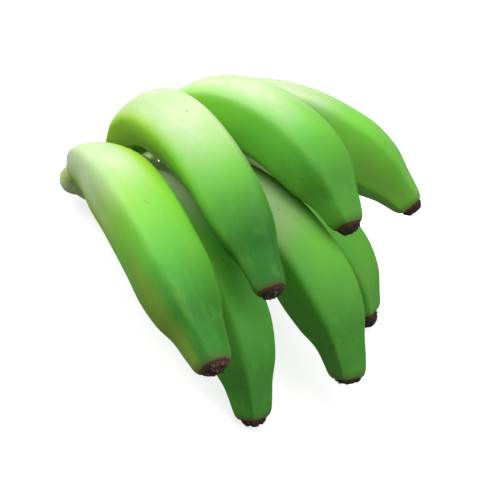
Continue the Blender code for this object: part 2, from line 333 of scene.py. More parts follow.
def noise(place, scale, detail=2.0, roughness=0.5):
    """Even noise from 0 to 1 at a place, with its scale in waves a metre."""
    return node(place.tree, "ShaderNodeTexNoise", {
        "Vector": place, "Scale": scale, "Detail": detail, "Roughness": roughness})


def named(tree, name, kind="FLOAT"):
    """Reads a value that the surface carries, in geometry nodes."""
    return node(tree, "GeometryNodeInputNamedAttribute", {"Name": name}, data_type=kind)


def keep(shape, **values):
    """Keeps values on a surface's points under their names."""
    for name, value in values.items():
        kind = "FLOAT_VECTOR" if is_vector(value) else "FLOAT"
        shape = node(shape.tree, "GeometryNodeStoreNamedAttribute", {
            "Geometry": shape, "Name": name, "Value": value}, data_type=kind, domain="POINT")
    return shape


def joined(first, second):
    """Two shapes as one."""
    both = node(first.tree, "GeometryNodeJoinGeometry", [first])
    first.tree.links.new(second.socket, both.socket.node.inputs[0])
    return both


def new_tree(name, sizes):
    """A geometry node tree with a path to work on and named sizes. Gives the tree and its inputs."""
    tree = bpy.data.node_groups.new(name, "GeometryNodeTree")
    tree.interface.new_socket("Geometry", in_out="OUTPUT", socket_type="NodeSocketGeometry")
    tree.interface.new_socket("Path", in_out="INPUT", socket_type="NodeSocketGeometry")
    for size, kind in sizes.items():
        tree.interface.new_socket(size, in_out="INPUT", socket_type="NodeSocket" + kind)
    start = tree.nodes.new("NodeGroupInput")
    return tree, {socket.name: Wire(tree, socket) for socket in start.outputs if socket.name}


def finish_tree(shape, material):
    """Gives a tree's shape its material and sends it out as a plain mesh."""
    tree = shape.tree
    smooth = node(tree, "GeometryNodeSetShadeSmooth", {"Geometry": shape, "Shade Smooth": True})
    plain = node(tree, "GeometryNodeRealizeInstances", {"Geometry": smooth})
    painted = node(tree, "GeometryNodeSetMaterial", {"Geometry": plain, "Material": material})
    end = tree.nodes.new("NodeGroupOutput")
    tree.links.new(painted.socket, end.inputs[0])


def grow(name, path, tree, sizes):
    """Runs a tree on a path with its sizes. Keeps the outcome in its place as one plain mesh.

    What would sink into the floor is pressed flat on it, as soft skin is.
    """
    piece = bpy.data.objects.new(name, path)
    bpy.context.scene.collection.objects.link(piece)
    modifier = piece.modifiers.new(tree.name, "NODES")
    modifier.node_group = tree
    for item in tree.interface.items_tree:
        if item.item_type == "SOCKET" and item.in_out == "INPUT" and item.name in sizes:
            modifier[item.identifier] = sizes[item.name]
    bpy.context.view_layer.update()
    mesh = bpy.data.meshes.new_from_object(piece.evaluated_get(bpy.context.evaluated_depsgraph_get()))
    piece.modifiers.remove(modifier)
    piece.data = mesh
    mesh.name = name
    mesh.transform(STANCE)
    place = np.zeros(len(mesh.vertices) * 3, np.float32)
    mesh.vertices.foreach_get("co", place)
    place[2::3] = np.maximum(place[2::3], 0)
    mesh.vertices.foreach_set("co", place)
    mesh.update()
    return piece


def path_mesh(name, points, **values):
    """A path of points joined in a row, with the values that the points carry."""
    mesh = bpy.data.meshes.new(name)
    mesh.from_pydata(points.tolist(), [(i, i + 1) for i in range(len(points) - 1)], [])
    for key, value in values.items():
        kind, field = ("FLOAT_VECTOR", "vector") if value.ndim == 2 else ("FLOAT", "value")
        mesh.attributes.new(key, kind, "POINT").data.foreach_set(field, value.astype(np.float32).ravel())
    return mesh


def swept(path, sides):
    """A closed tube round a path, on which each point keeps its even step round it."""
    tree = path.tree
    place = node(tree, "GeometryNodeInputIndex")
    ring = node(tree, "GeometryNodeCurvePrimitiveCircle", {"Resolution": sides, "Radius": MM})
    ring = keep(ring, step=place / sides * math.tau)
    line = node(tree, "GeometryNodeMeshToCurve", {"Mesh": path})
    return node(tree, "GeometryNodeCurveToMesh", {"Curve": line, "Profile Curve": ring, "Fill Caps": True})


def five_sided(step, sharpness):
    """Relative radius of a rounded five-sided section, and each point's angle from its nearest ridge."""
    face = math.tau / RIDGES
    off_middle = calc("FLOORED_MODULO", step, face) - face / 2
    facing = [calc("COSINE", off_middle + side * face) for side in (-1, 0, 1)]
    reach = sum(calc("MAXIMUM", side, 0) ** sharpness for side in facing)
    angles = np.linspace(-face / 2, face / 2, SECTION_SAMPLES)[:, None] + face * np.array([-1, 0, 1])
    mean = (np.maximum(np.cos(angles), 0) ** sharpness).sum(axis=1) ** (-1 / sharpness)
    off_ridge = face / 2 - calc("ABSOLUTE", off_middle)
    return reach ** (-1 / sharpness) / float(mean.mean()), off_ridge


def spaced(step, given):
    """The angle at each even step from the first ridge, with the ridges unevenly spaced."""
    uneven = calc("SINE", step - given["Middle"]) + calc("SINE", given["Middle"])
    return step + given["Broad"] * uneven + given["First Ridge"]


def carried(tree, name, output="Fac"):
    """Reads a value that the surface carries, in a material."""
    return node(tree, "ShaderNodeAttribute", attribute_name=name).other(output)


def blend(share, first, second):
    """Mixes two colours by a share from 0 to 1."""
    return node(share.tree, "ShaderNodeMix", {"Factor": share, "A": first, "B": second}, data_type="RGBA")


def paint(name):
    """A new Principled finish. Gives the material, its tree and its shader."""
    material = bpy.data.materials.new(name)
    material.use_nodes = True
    return material, material.node_tree, material.node_tree.nodes["Principled BSDF"]


def attach(shader, name, value):
    """Feeds a shader's input."""
    value.tree.links.new(value.socket, shader.inputs[name])


def beside(distance, full, gone, ragged, mottle):
    """Full beside an edge and gone further away, with a ragged limit between."""
    return fade(distance + (mottle - 0.5) * ragged, full, gone, 1, 0)


def glow(shader, weight, depth):
    """Lets a little light into the flesh under a surface."""
    shader.inputs["Subsurface Weight"].default_value = weight
    shader.inputs["Subsurface Radius"].default_value = FLESH_TINT
    shader.inputs["Subsurface Scale"].default_value = depth


def green_skin():
    """Waxy green peel: cream or yellow towards the stalk, deep green at the neck, dark at its lip. The
    cream is partly a painted highlight, and the deep green partly painted shade.

    One side carries painted olive shade. Patches, streaks and specks run along the finger, and its
    ridges are a little worn.
    """
    material, tree, shader = paint("green_skin")
    straight = carried(tree, "straight", "Vector")
    along, to_lip = carried(tree, "along"), carried(tree, "to_lip")
    raw = {name: noise(straight * (1, 1, lengthwise), *texture)
           for name, (lengthwise, *texture) in PATTERNS.items()}
    seen = {name: fade(raw[name], *levels) for name, levels in SEEN_BETWEEN.items()}
    specks = node(tree, "ShaderNodeTexVoronoi", {"Vector": straight, "Scale": SPECK_SCALE}, feature="F1")
    specks = fade(specks, *SPECK_SIZE, 1, 0) * fade(noise(straight, SPECKLED_SCALE, 1), *SPECKLED_LEVELS)
    wander = raw["drift"] - 0.5
    yellow = fade(along + wander * 0.3, *YELLOW_FADES, 1, 0) * carried(tree, "yellowing")
    # Cream towards the stalk end: partly the real pale end, partly a painted highlight on the side chosen
    # for each finger
    cream = fade(along - carried(tree, "cream_end") + wander * 0.2, *CREAM_AND_HIGHLIGHT_EDGE, 1, 0)
    cream = cream * fade(carried(tree, "pale"), *HIGHLIGHT_FACING)
    # The blossom end darkens: partly its own deep green, partly painted shade
    deepening = fade(along + wander * 0.2, *TIP_DARKENS) * carried(tree, "deepening")
    # Painted olive shade on the side away from the back, low on the finger
    olive_shade = fade(carried(tree, "back") + wander, *BACK_FACING, 1, 0) * fade(along + wander, *OLIVE_SHADE_BEGINS)
    worn = fade(carried(tree, "crease"), 0.2, 0.9) * seen["wear"]
    colour = blend(seen["drift"], SKIN_DEEP, SKIN_BRIGHT)
    for share, tone in (
        (yellow * YELLOW_SHOWS, SKIN_YELLOW),
        (cream, SKIN_CREAM),
        (seen["patches"] * PATCHES_SHOW, SKIN_DEEP),
        (deepening * TIP_SHOWS, SKIN_TIP_AND_SHADE),
        (olive_shade * carried(tree, "weathering"), SKIN_OLIVE_SHADE),
        (seen["mottle"] * MOTTLE_SHOWS, SKIN_BRIGHT),
        (seen["streaks"] * STREAKS_SHOW, SKIN_STREAK),
        (worn * WORN_RIDGE_SHOWS, SKIN_RIDGE),
        (specks * SPECKS_SHOW, SKIN_SPECK),
        (beside(to_lip, *NECK_BAND, raw["mottle"]) * NECK_SHOWS, SKIN_NECK),
        (beside(to_lip, *LIP_BAND, raw["mottle"]), LIP_BROWN),
    ):
        colour = blend(share, colour, tone)
    attach(shader, "Base Color", colour)
    attach(shader, "Roughness", fade(raw["mottle"], 0.3, 0.7, *WAX_ROUGHNESS))
    shader.inputs["Specular IOR Level"].default_value = WAX_SHINE
    glow(shader, *SKIN_GLOW)
    height = raw["pores"] * 0.6 + raw["fibres"] * 0.4
    bump = node(tree, "ShaderNodeBump", {"Strength": 0.35, "Distance": PORE_DEPTH, "Height": height})
    attach(shader, "Normal", bump)
    return material


def skin_tree(material):
    """Sweeps one finger's skin along its spine, with ridges, creases and the unevenness of a fruit."""
    tree, given = new_tree("banana_skin", {
        "Sides": "Int", "First Ridge": "Float", "Twist": "Float", "Broad": "Float", "Middle": "Float",
        "Crease": "Float", "Unevenness": "Float", "Cream And Highlight End": "Float", "Yellowing": "Float",
        "Deep Tip And Shade": "Float", "Olive Shading": "Float", "Highlight Side": "Float", "Seed": "Float"})
    skin = swept(given["Path"], given["Sides"])
    step, along, wide = named(tree, "step"), named(tree, "along"), named(tree, "girth")
    strength = named(tree, "strength")
    section, off_ridge = five_sided(step, RIDGE_SHARPNESS)
    turn = spaced(step, given) + given["Twist"] * along
    ring = node(tree, "ShaderNodeCombineXYZ", [
        calc("COSINE", turn) * wide, calc("SINE", turn) * wide, named(tree, "reach")])
    straight = ring + given["Seed"] * OWN_PATTERN
    crease = calc("EXPONENT", (off_ridge / CREASE_WIDTH) ** 2 * -1)
    crease = crease * fade(noise(straight * (0.6, 0.6, 1.0), CREASE_SCALE, 1), 0.38, 0.62, 0.25, 1)
    swelling = noise(straight * (1, 1, 0.5), SWELLING_SCALE, 1) - 0.5
    dimples = noise(straight * (1, 1, 0.3), DIMPLE_SCALE, 2) - 0.5
    relief = given["Unevenness"] * (swelling + dimples * 0.12) * 2
    body = wide * (1 + strength * (section - 1))
    radius = body + (given["Crease"] * crease + relief) * strength
    around = named(tree, "outward", "FLOAT_VECTOR") * calc("COSINE", turn)
    around = around + named(tree, "side", "FLOAT_VECTOR") * calc("SINE", turn)
    centre = named(tree, "centre", "FLOAT_VECTOR")
    # The skin carries where its cream and painted highlight, its deep tip with painted shade and its
    # painted olive shade fall
    skin = keep(
        skin, straight=straight, crease=crease, back=calc("COSINE", turn),
        pale=calc("COSINE", turn - given["Highlight Side"]), cream_end=given["Cream And Highlight End"],
        yellowing=given["Yellowing"], deepening=given["Deep Tip And Shade"], weathering=given["Olive Shading"])
    skin = node(tree, "GeometryNodeSetPosition", {"Geometry": skin, "Position": centre + around * radius})
    finish_tree(skin, material)
    return tree


skin_finish = green_skin()
skins = skin_tree(skin_finish)
lip_ahead, lip_width = np.array(LIP).T
for number, (label, finger) in enumerate(FINGERS.items()):
    length, begin, last = finger["length"] * MM, shoulder_start(finger), skin_end(finger)
    rolling = np.sin(np.linspace(0, math.pi / 2, SHOULDER_ROWS))
    along_body = np.linspace(SKIN_START, begin, SKIN_ROWS)[:-1]
    body = np.concatenate([along_body, begin + (last - begin) * rolling])
    stations = np.concatenate([body, np.full(len(LIP), last)])
    here, heading, outward, side = spine(finger, stations)
    here[len(body):] += heading[len(body):] * lip_ahead[:, None] * MM
    wide = girth(finger, stations)
    wide[len(body):] *= lip_width
    risen = np.clip((stations - SKIN_START) / (SKIN_FULL - SKIN_START), 0, 1)
    wide *= SKIN_SUNK + (1 - SKIN_SUNK) * np.sin(risen * math.pi / 2)
    path = path_mesh(
        label + "_spine", here, centre=here, along=stations, girth=wide, outward=outward,
        side=np.tile(side, (len(here), 1)), strength=through(RIDGE_STRENGTH, stations),
        reach=stations * length,
        to_lip=np.append((last - body) * length, -MM * np.arange(1, len(LIP) + 1)))
    # The cream end and the side set the cream and painted highlight; the deepening and the olive share set
    # painted shade
    cream_end, yellowing, deepening, weathering, highlight_side = COLOURING[label]
    piece = grow(label + "_skin", path, skins, {
        "Sides": SKIN_SIDES, "First Ridge": math.radians(finger["ridge"]),
        "Twist": math.radians(finger["twist"]), "Broad": math.radians(finger["broad"]),
        "Middle": math.radians(finger["middle"]), "Crease": CREASE_HEIGHT, "Unevenness": SWELLING,
        "Cream And Highlight End": cream_end, "Yellowing": yellowing, "Deep Tip And Shade": deepening, "Olive Shading": weathering,
        "Highlight Side": math.radians(highlight_side), "Seed": number + 1.0})
    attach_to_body(piece, "root")
    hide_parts(label + "_finger")

# Crown
# The seven stalks grow together into one curved pad of green stem tissue. It was cut off the stem
# with a knife: the cut is flat, pale inside and browned by its own sap, with the ends of fibres.

PAD_MID_RADIUS = 41 * MM
PAD_HALF_DEPTH = 14.5 * MM
PAD_HALF_HEIGHT = 18 * MM
PAD_MID_HEIGHT = 1.5 * MM
PAD_FIRST_ANGLE = -28
PAD_LAST_ANGLE = 57
PAD_END_BULGE = 2.2
CUT_ANGLE = 18
STEM_TO_CUT = 30 * MM
STALK_ROOT_INSET = 14
STALK_KNOTS = (0.0, 0.022, 0.047)
STALK_FULLNESS = (1.12, 1.04, 0.97)
WEBBED = ("upper_1", "lower_1", "upper_2", "lower_2", "upper_3", "lower_3", "upper_4")
WEB_ENDS = (0.0, 0.04)
WEB_THICKNESS = (6.5 * MM, 5.0 * MM)
CREVICE = 3.5 * MM
VOXEL = 0.8 * MM
CROWN_MARGIN = 6 * MM
SHELL = 4 * MM
FIBRE_LENGTH = 1.1 * MM
FIBRE_WIDTH = 0.45 * MM
CUT_CREAM = (0.60, 0.52, 0.28, 1)
CUT_SAP = (0.20, 0.11, 0.045, 1)
CUT_DARK = (0.05, 0.026, 0.014, 1)
CROWN_SCUFF = (0.20, 0.13, 0.06, 1)
CUT_ROUNDING = 0.6 * MM
CUT_LIMIT = (-0.9 * MM, -0.25 * MM)
CROWN_RELIEF = 0.8 * MM
FIBRES_A_SQUARE_METRE = 160000.0
FIBRE_SIDES = 5
FIBRE_POINT = 0.2
FIBRE_LEAN = 0.5
FIBRE_SIZE = (0.4, 1.0)
FIBRE_DEPTH = 4 * MM
# The relief is made of flutes that spread from the stem, of swells, and of tears on the cut
FLUTE_SCALE, FLUTE_SHARE = 26, 0.9
SWELL_SCALE, SWELL_SHARE = 90, 1.2
TEAR_SCALE, TEAR_SHARE = 700, 0.8
CROWN_DRIFT_SCALE = 45
CROWN_MOTTLE_SCALE = 260
STRAND_SCALE = 420.0
STRAND_SIZE = (0.16, 0.3)
# How much of each tone shows where it is strongest
CROWN_YELLOW_SHOWS = 0.5
GRAIN_SHOWS = 0.2
SCUFF_SHOWS = 0.55
RIM_SAP_SHOWS = 0.85
CUT_MOTTLE_SHOWS = 0.8
STRANDS_SHOW = 0.7
CUT_SAP_SHOWS = 0.9
CUT_DARK_SHOWS = 0.8
CROWN_GLOW = (0.1, 2 * MM)
CROWN_ROUGHNESS = (0.5, 0.85)
CROWN_GRAIN_DEPTH = 0.25 * MM
# Sap beside the cut's rim, and sap and dried black on the cut inside its rim: where each begins to
# fade, where it is gone, and how ragged its edge is
RIM_SAP_BAND = (0.2 * MM, 2.2 * MM, 2.5 * MM)
CUT_SAP_BAND = (1.2 * MM, 3.4 * MM, 3 * MM)
CUT_DARK_BAND = (0.2 * MM, 1.1 * MM, 1.5 * MM)


def bar(place, start, end, first_radius, last_radius):
    """Distance of each place from a round bar that may be thicker at one end."""
    line = end - start
    away = place - tuple(start)
    share = calc("DOT_PRODUCT", away, tuple(line)) / float(line @ line)
    share = calc("MINIMUM", calc("MAXIMUM", share, 0.0), 1.0)
    radius = share * float(last_radius - first_radius) + float(first_radius)
    return calc("LENGTH", away - node(place.tree, "ShaderNodeVectorMath", {
        "Vector": tuple(line), "Scale": share}, operation="SCALE")) - radius


def pad_distance(place):
    """Distance from the bent pad, roughly, as each place's share of its depth, height and sweep."""
    split = node(place.tree, "ShaderNodeSeparateXYZ", [place])
    across, out, up = split, split.other("Y") + STEM_TO_STALKS, split.other("Z")
    radius = calc("SQRT", across ** 2 + out ** 2)
    angle = calc("ARCTAN2", across, out) * (180 / math.pi)
    middle, half = (PAD_FIRST_ANGLE + PAD_LAST_ANGLE) / 2, (PAD_LAST_ANGLE - PAD_FIRST_ANGLE) / 2
    way = calc("ABSOLUTE", (angle - middle) / half)
    round_section = ((radius - PAD_MID_RADIUS) / PAD_HALF_DEPTH) ** 2
    round_section = round_section + ((up - PAD_MID_HEIGHT) / PAD_HALF_HEIGHT) ** 2
    return (calc("SQRT", round_section + way ** PAD_END_BULGE) - 1) * PAD_HALF_DEPTH


def crown_distance(place):
    """Distance from the crown before it is cut: the pad, the stalks and the webs between them."""
    shape = pad_distance(place)
    inner, outer = PAD_FIRST_ANGLE + STALK_ROOT_INSET, PAD_LAST_ANGLE - STALK_ROOT_INSET
    for finger in FINGERS.values():
        knots, _, _, _ = spine(finger, np.array(STALK_KNOTS))
        thick = girth(finger, np.array(STALK_KNOTS)) * STALK_FULLNESS
        root = around_stem(PAD_MID_RADIUS, min(max(finger["seat"], inner), outer),
                           (PAD_MID_HEIGHT + finger["rise"] * MM) / 2)
        stalk = bar(place, root, knots[0], thick[0], thick[0])
        for step in range(len(knots) - 1):
            part = bar(place, knots[step], knots[step + 1], thick[step], thick[step + 1])
            stalk = calc("MINIMUM", stalk, part)
        shape = calc("SMOOTH_MIN", shape, stalk, CREVICE)
    for first, second in zip(WEBBED, WEBBED[1:]):
        ends = np.array(WEB_ENDS)
        middle = (spine(FINGERS[first], ends)[0] + spine(FINGERS[second], ends)[0]) / 2
        shape = calc("SMOOTH_MIN", shape, bar(place, *middle, *WEB_THICKNESS), CREVICE)
    return shape


def crown_tissue():
    """Pale green stem tissue with fibres running to the stalks; cream and sap brown on the cut."""
    material, tree, shader = paint("crown_tissue")
    place, fibres = node(tree, "ShaderNodeTexCoord").other("Object"), carried(tree, "fibres", "Vector")
    cut, depth, to_cut = carried(tree, "cut"), carried(tree, "depth"), carried(tree, "to_cut")
    drift, mottle = noise(place, CROWN_DRIFT_SCALE, 2), noise(place, CROWN_MOTTLE_SCALE, 4, 0.6)
    grain = noise(fibres, FLUTE_SCALE, 3, 0.6)
    strands = node(tree, "ShaderNodeTexVoronoi", {"Vector": place, "Scale": STRAND_SCALE}, feature="F1")
    side = blend(fade(drift, 0.35, 0.65) * CROWN_YELLOW_SHOWS, SKIN_CREAM, SKIN_YELLOW)
    side = blend(fade(grain, 0.5, 0.72) * GRAIN_SHOWS, side, SKIN_DEEP)
    side = blend(fade(mottle + drift * 0.6, 0.92, 1.12) * SCUFF_SHOWS, side, CROWN_SCUFF)
    side = blend(beside(to_cut, *RIM_SAP_BAND, mottle) * RIM_SAP_SHOWS, side, CUT_SAP)
    face = blend(fade(mottle, 0.4, 0.68) * CUT_MOTTLE_SHOWS, CUT_CREAM, CUT_SAP)
    face = blend(fade(strands, *STRAND_SIZE, 1, 0) * STRANDS_SHOW, face, CUT_DARK)
    face = blend(beside(depth, *CUT_SAP_BAND, mottle) * CUT_SAP_SHOWS, face, CUT_SAP)
    face = blend(beside(depth, *CUT_DARK_BAND, mottle) * CUT_DARK_SHOWS, face, CUT_DARK)
    attach(shader, "Base Color", blend(cut, side, face))
    attach(shader, "Roughness", fade(cut, 0, 1, *CROWN_ROUGHNESS))
    height = grain * (1 - cut) + mottle * cut
    bump = node(tree, "ShaderNodeBump", {
        "Strength": 0.5, "Distance": CROWN_GRAIN_DEPTH, "Height": height})
    attach(shader, "Normal", bump)
    glow(shader, *CROWN_GLOW)
    return material


def drawn(low, high, number, seed):
    """A random draw between two bounds for each number, from a fixed seed."""
    kind = "FLOAT_VECTOR" if is_vector(low) else "FLOAT"
    return node(number.tree, "FunctionNodeRandomValue", {
        "Min": low, "Max": high, "ID": number, "Seed": seed}, data_type=kind)


def crown_tree(material, lowest, highest):
    """Melts pad, stalks and webs into one skin, slices it flat, and sets torn fibres on the slice."""
    tree, given = new_tree("banana_crown", {
        "Cut Angle": "Float", "Stem to Cut": "Float", "Relief": "Float", "Fibre Length": "Float",
        "Fibre Width": "Float", "Fibres": "Float", "Seed": "Int"})
    at = node(tree, "GeometryNodeInputPosition")
    facing = node(tree, "ShaderNodeCombineXYZ", [
        calc("SINE", given["Cut Angle"]), calc("COSINE", given["Cut Angle"]), 0.0])
    stem = (0.0, -STEM_TO_STALKS, 0.0)
    uncut = crown_distance(at)
    behind = given["Stem to Cut"] - calc("DOT_PRODUCT", at - stem, facing)
    solid = calc("SMOOTH_MAX", uncut, behind, CUT_ROUNDING)
    density = calc("MINIMUM", calc("MAXIMUM", 0.5 - solid / SHELL, 0.0), 1.0)
    counts = [int(math.ceil((high - low) / VOXEL)) for low, high in zip(lowest, highest)]
    cloud = node(tree, "GeometryNodeVolumeCube", {
        "Density": density, "Background": 0.0, "Min": tuple(lowest), "Max": tuple(highest),
        "Resolution X": counts[0], "Resolution Y": counts[1], "Resolution Z": counts[2]})
    skin = node(tree, "GeometryNodeVolumeToMesh", {"Volume": cloud, "Threshold": 0.5})
    cut = fade(behind, *CUT_LIMIT)
    from_stem = at - stem
    spread = from_stem / calc("LENGTH", from_stem)
    skin = keep(skin, cut=cut, to_cut=behind * -1, depth=uncut * -1, fibres=spread)
    fluting = noise(spread, FLUTE_SCALE, 3, 0.6) - 0.5
    swells = noise(at, SWELL_SCALE, 2) - 0.5
    tears = noise(at, TEAR_SCALE, 3, 0.6) - 0.5
    push = (fluting * FLUTE_SHARE + swells * SWELL_SHARE) * given["Relief"] * (1 - cut)
    push = push + tears * cut * given["Relief"] * TEAR_SHARE
    skin = node(tree, "GeometryNodeSetPosition", {
        "Geometry": skin, "Offset": node(tree, "GeometryNodeInputNormal") * push})
    dots = node(tree, "GeometryNodeDistributePointsOnFaces", {
        "Mesh": skin, "Selection": calc("GREATER_THAN", named(tree, "cut"), 0.9),
        "Density": given["Fibres"], "Seed": given["Seed"]})
    fibre = node(tree, "GeometryNodeMeshCone", {
        "Vertices": FIBRE_SIDES, "Side Segments": 2, "Radius Top": given["Fibre Width"] * FIBRE_POINT,
        "Radius Bottom": given["Fibre Width"], "Depth": given["Fibre Length"]})
    number = node(tree, "GeometryNodeInputIndex")
    lean = drawn((-FIBRE_LEAN,) * 3, (FIBRE_LEAN,) * 3, number, given["Seed"])
    size = drawn(*FIBRE_SIZE, number, given["Seed"] + 2)
    turned = node(tree, "FunctionNodeAlignRotationToVector", {"Vector": lean - facing}, axis="Z")
    hairs = node(tree, "GeometryNodeInstanceOnPoints", {
        "Points": dots, "Instance": fibre, "Rotation": turned, "Scale": size * (1, 1, 1)})
    hairs = node(tree, "GeometryNodeRealizeInstances", {"Geometry": hairs})
    finish_tree(joined(skin, keep(hairs, cut=1.0, depth=FIBRE_DEPTH)), material)
    return tree


knots = np.vstack([spine(finger, np.array(STALK_KNOTS))[0] for finger in FINGERS.values()])
pad_corners = np.array([around_stem(PAD_MID_RADIUS, angle, PAD_MID_HEIGHT + side * PAD_HALF_HEIGHT)
                        for angle in range(PAD_FIRST_ANGLE, PAD_LAST_ANGLE, 10) for side in (-1, 1)])
reach = PAD_HALF_DEPTH * 0.6 + CROWN_MARGIN
lowest = np.minimum(knots.min(axis=0), pad_corners.min(axis=0)) - reach
highest = np.maximum(knots.max(axis=0), pad_corners.max(axis=0)) + reach
crown_finish = crown_tissue()
crown_maker = crown_tree(crown_finish, lowest, highest)
piece = grow("crown_flesh", bpy.data.meshes.new("crown_start"), crown_maker, {
    "Cut Angle": math.radians(CUT_ANGLE), "Stem to Cut": STEM_TO_CUT, "Relief": CROWN_RELIEF,
    "Fibre Length": FIBRE_LENGTH, "Fibre Width": FIBRE_WIDTH, "Fibres": FIBRES_A_SQUARE_METRE, "Seed": 4})
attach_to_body(piece, "root")
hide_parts("crown")

# Dry ends
# The flower dried up on the end of each finger. What is left is a dark, brittle cap with a pit and
# the stub of the style in its middle, and shrivelled scraps of the flower round its edge.

DRY_SIDES = 96
DRY_SHAPE = (  # share of the end's width, share of the dry end's length
    (0.70, -0.50), (0.80, -0.25), (0.88, -0.05), (0.92, 0.12), (0.92, 0.26), (0.88, 0.40), (0.82, 0.54),
    (0.74, 0.67), (0.66, 0.78), (0.58, 0.86), (0.51, 0.90), (0.45, 0.89), (0.39, 0.84), (0.34, 0.78),
    (0.29, 0.77), (0.25, 0.81), (0.22, 0.90), (0.19, 1.00), (0.15, 1.06), (0.08, 1.08),
)
DRY_BETWEEN = 3  # rows of the cap for each step of its shape
DRY_LUMP = 0.9 * MM
DRY_CRUMB = 0.45 * MM
SCRAPS = 13
SCRAP_LENGTH = 2.2 * MM
SCRAP_WIDTH = 1.4 * MM
SCRAP_THICKNESS = 0.25 * MM
SCRAP_ROW = 8  # the row of the cap that they stand on
SCRAP_GRID = (9, 5)
SCRAP_TAPER = 0.75
SCRAP_TURN = 2.6
SCRAP_CURL = 0.35
SCRAP_HOLLOW = 1.2
# How far out from the middle a scrap grows, how far it stands up, and its size
SCRAP_PLACE = (0.55, 1.0)
SCRAP_LIFT = (-0.1, 1.1)
SCRAP_SIZE = (0.5, 1.15)
# Waves a metre of the unevenness and of the tones
LUMP_SCALE = 260
COARSE_SCALE = 380
FOLD_SCALE = 620.0
CRUMB_SCALE = 1300
CRUMPLE_SCALE = 900
FLAKE_SCALE = 1500
DRY_PATTERN = (0.013, 0.007, 0.0)
DRY_BLACK = (0.006, 0.004, 0.004, 1)
DRY_BROWN = (0.055, 0.022, 0.012, 1)
DRY_RED = (0.16, 0.05, 0.025, 1)
DRY_PALE = (0.42, 0.27, 0.21, 1)
DRY_RED_SHOWS = 0.75
FLAKY = {"upper_1": 0.9, "upper_2": 0.8}
LESS_FLAKY = 0.25
DRY_ROUGHNESS = (0.7, 0.95)
DRY_GRAIN_DEPTH = 0.2 * MM


def dry_flower():
    """Brittle dead tissue: near black in hollows, reddish brown at the skin, pale where it flaked."""
    material, tree, shader = paint("dry_tip")
    place = node(tree, "ShaderNodeTexCoord").other("Object")
    raised, flaky, rim = carried(tree, "raised"), carried(tree, "flaky"), carried(tree, "rim")
    coarse, fine = noise(place, COARSE_SCALE, 3, 0.6), noise(place, FLAKE_SCALE, 3, 0.65)
    colour = blend(fade(raised + (fine - 0.5) * 0.6, 0.15, 0.95), DRY_BLACK, DRY_BROWN)
    colour = blend(fade(rim + (coarse - 0.5) * 0.7, 0.35, 1.0) * DRY_RED_SHOWS, colour, DRY_RED)
    colour = blend(fade(fine + raised * 0.25, 0.62, 0.85) * flaky, colour, DRY_PALE)
    attach(shader, "Base Color", colour)
    attach(shader, "Roughness", fade(fine, 0.3, 0.7, *DRY_ROUGHNESS))
    bump = node(tree, "ShaderNodeBump", {"Strength": 0.7, "Distance": DRY_GRAIN_DEPTH, "Height": fine})
    attach(shader, "Normal", bump)
    return material


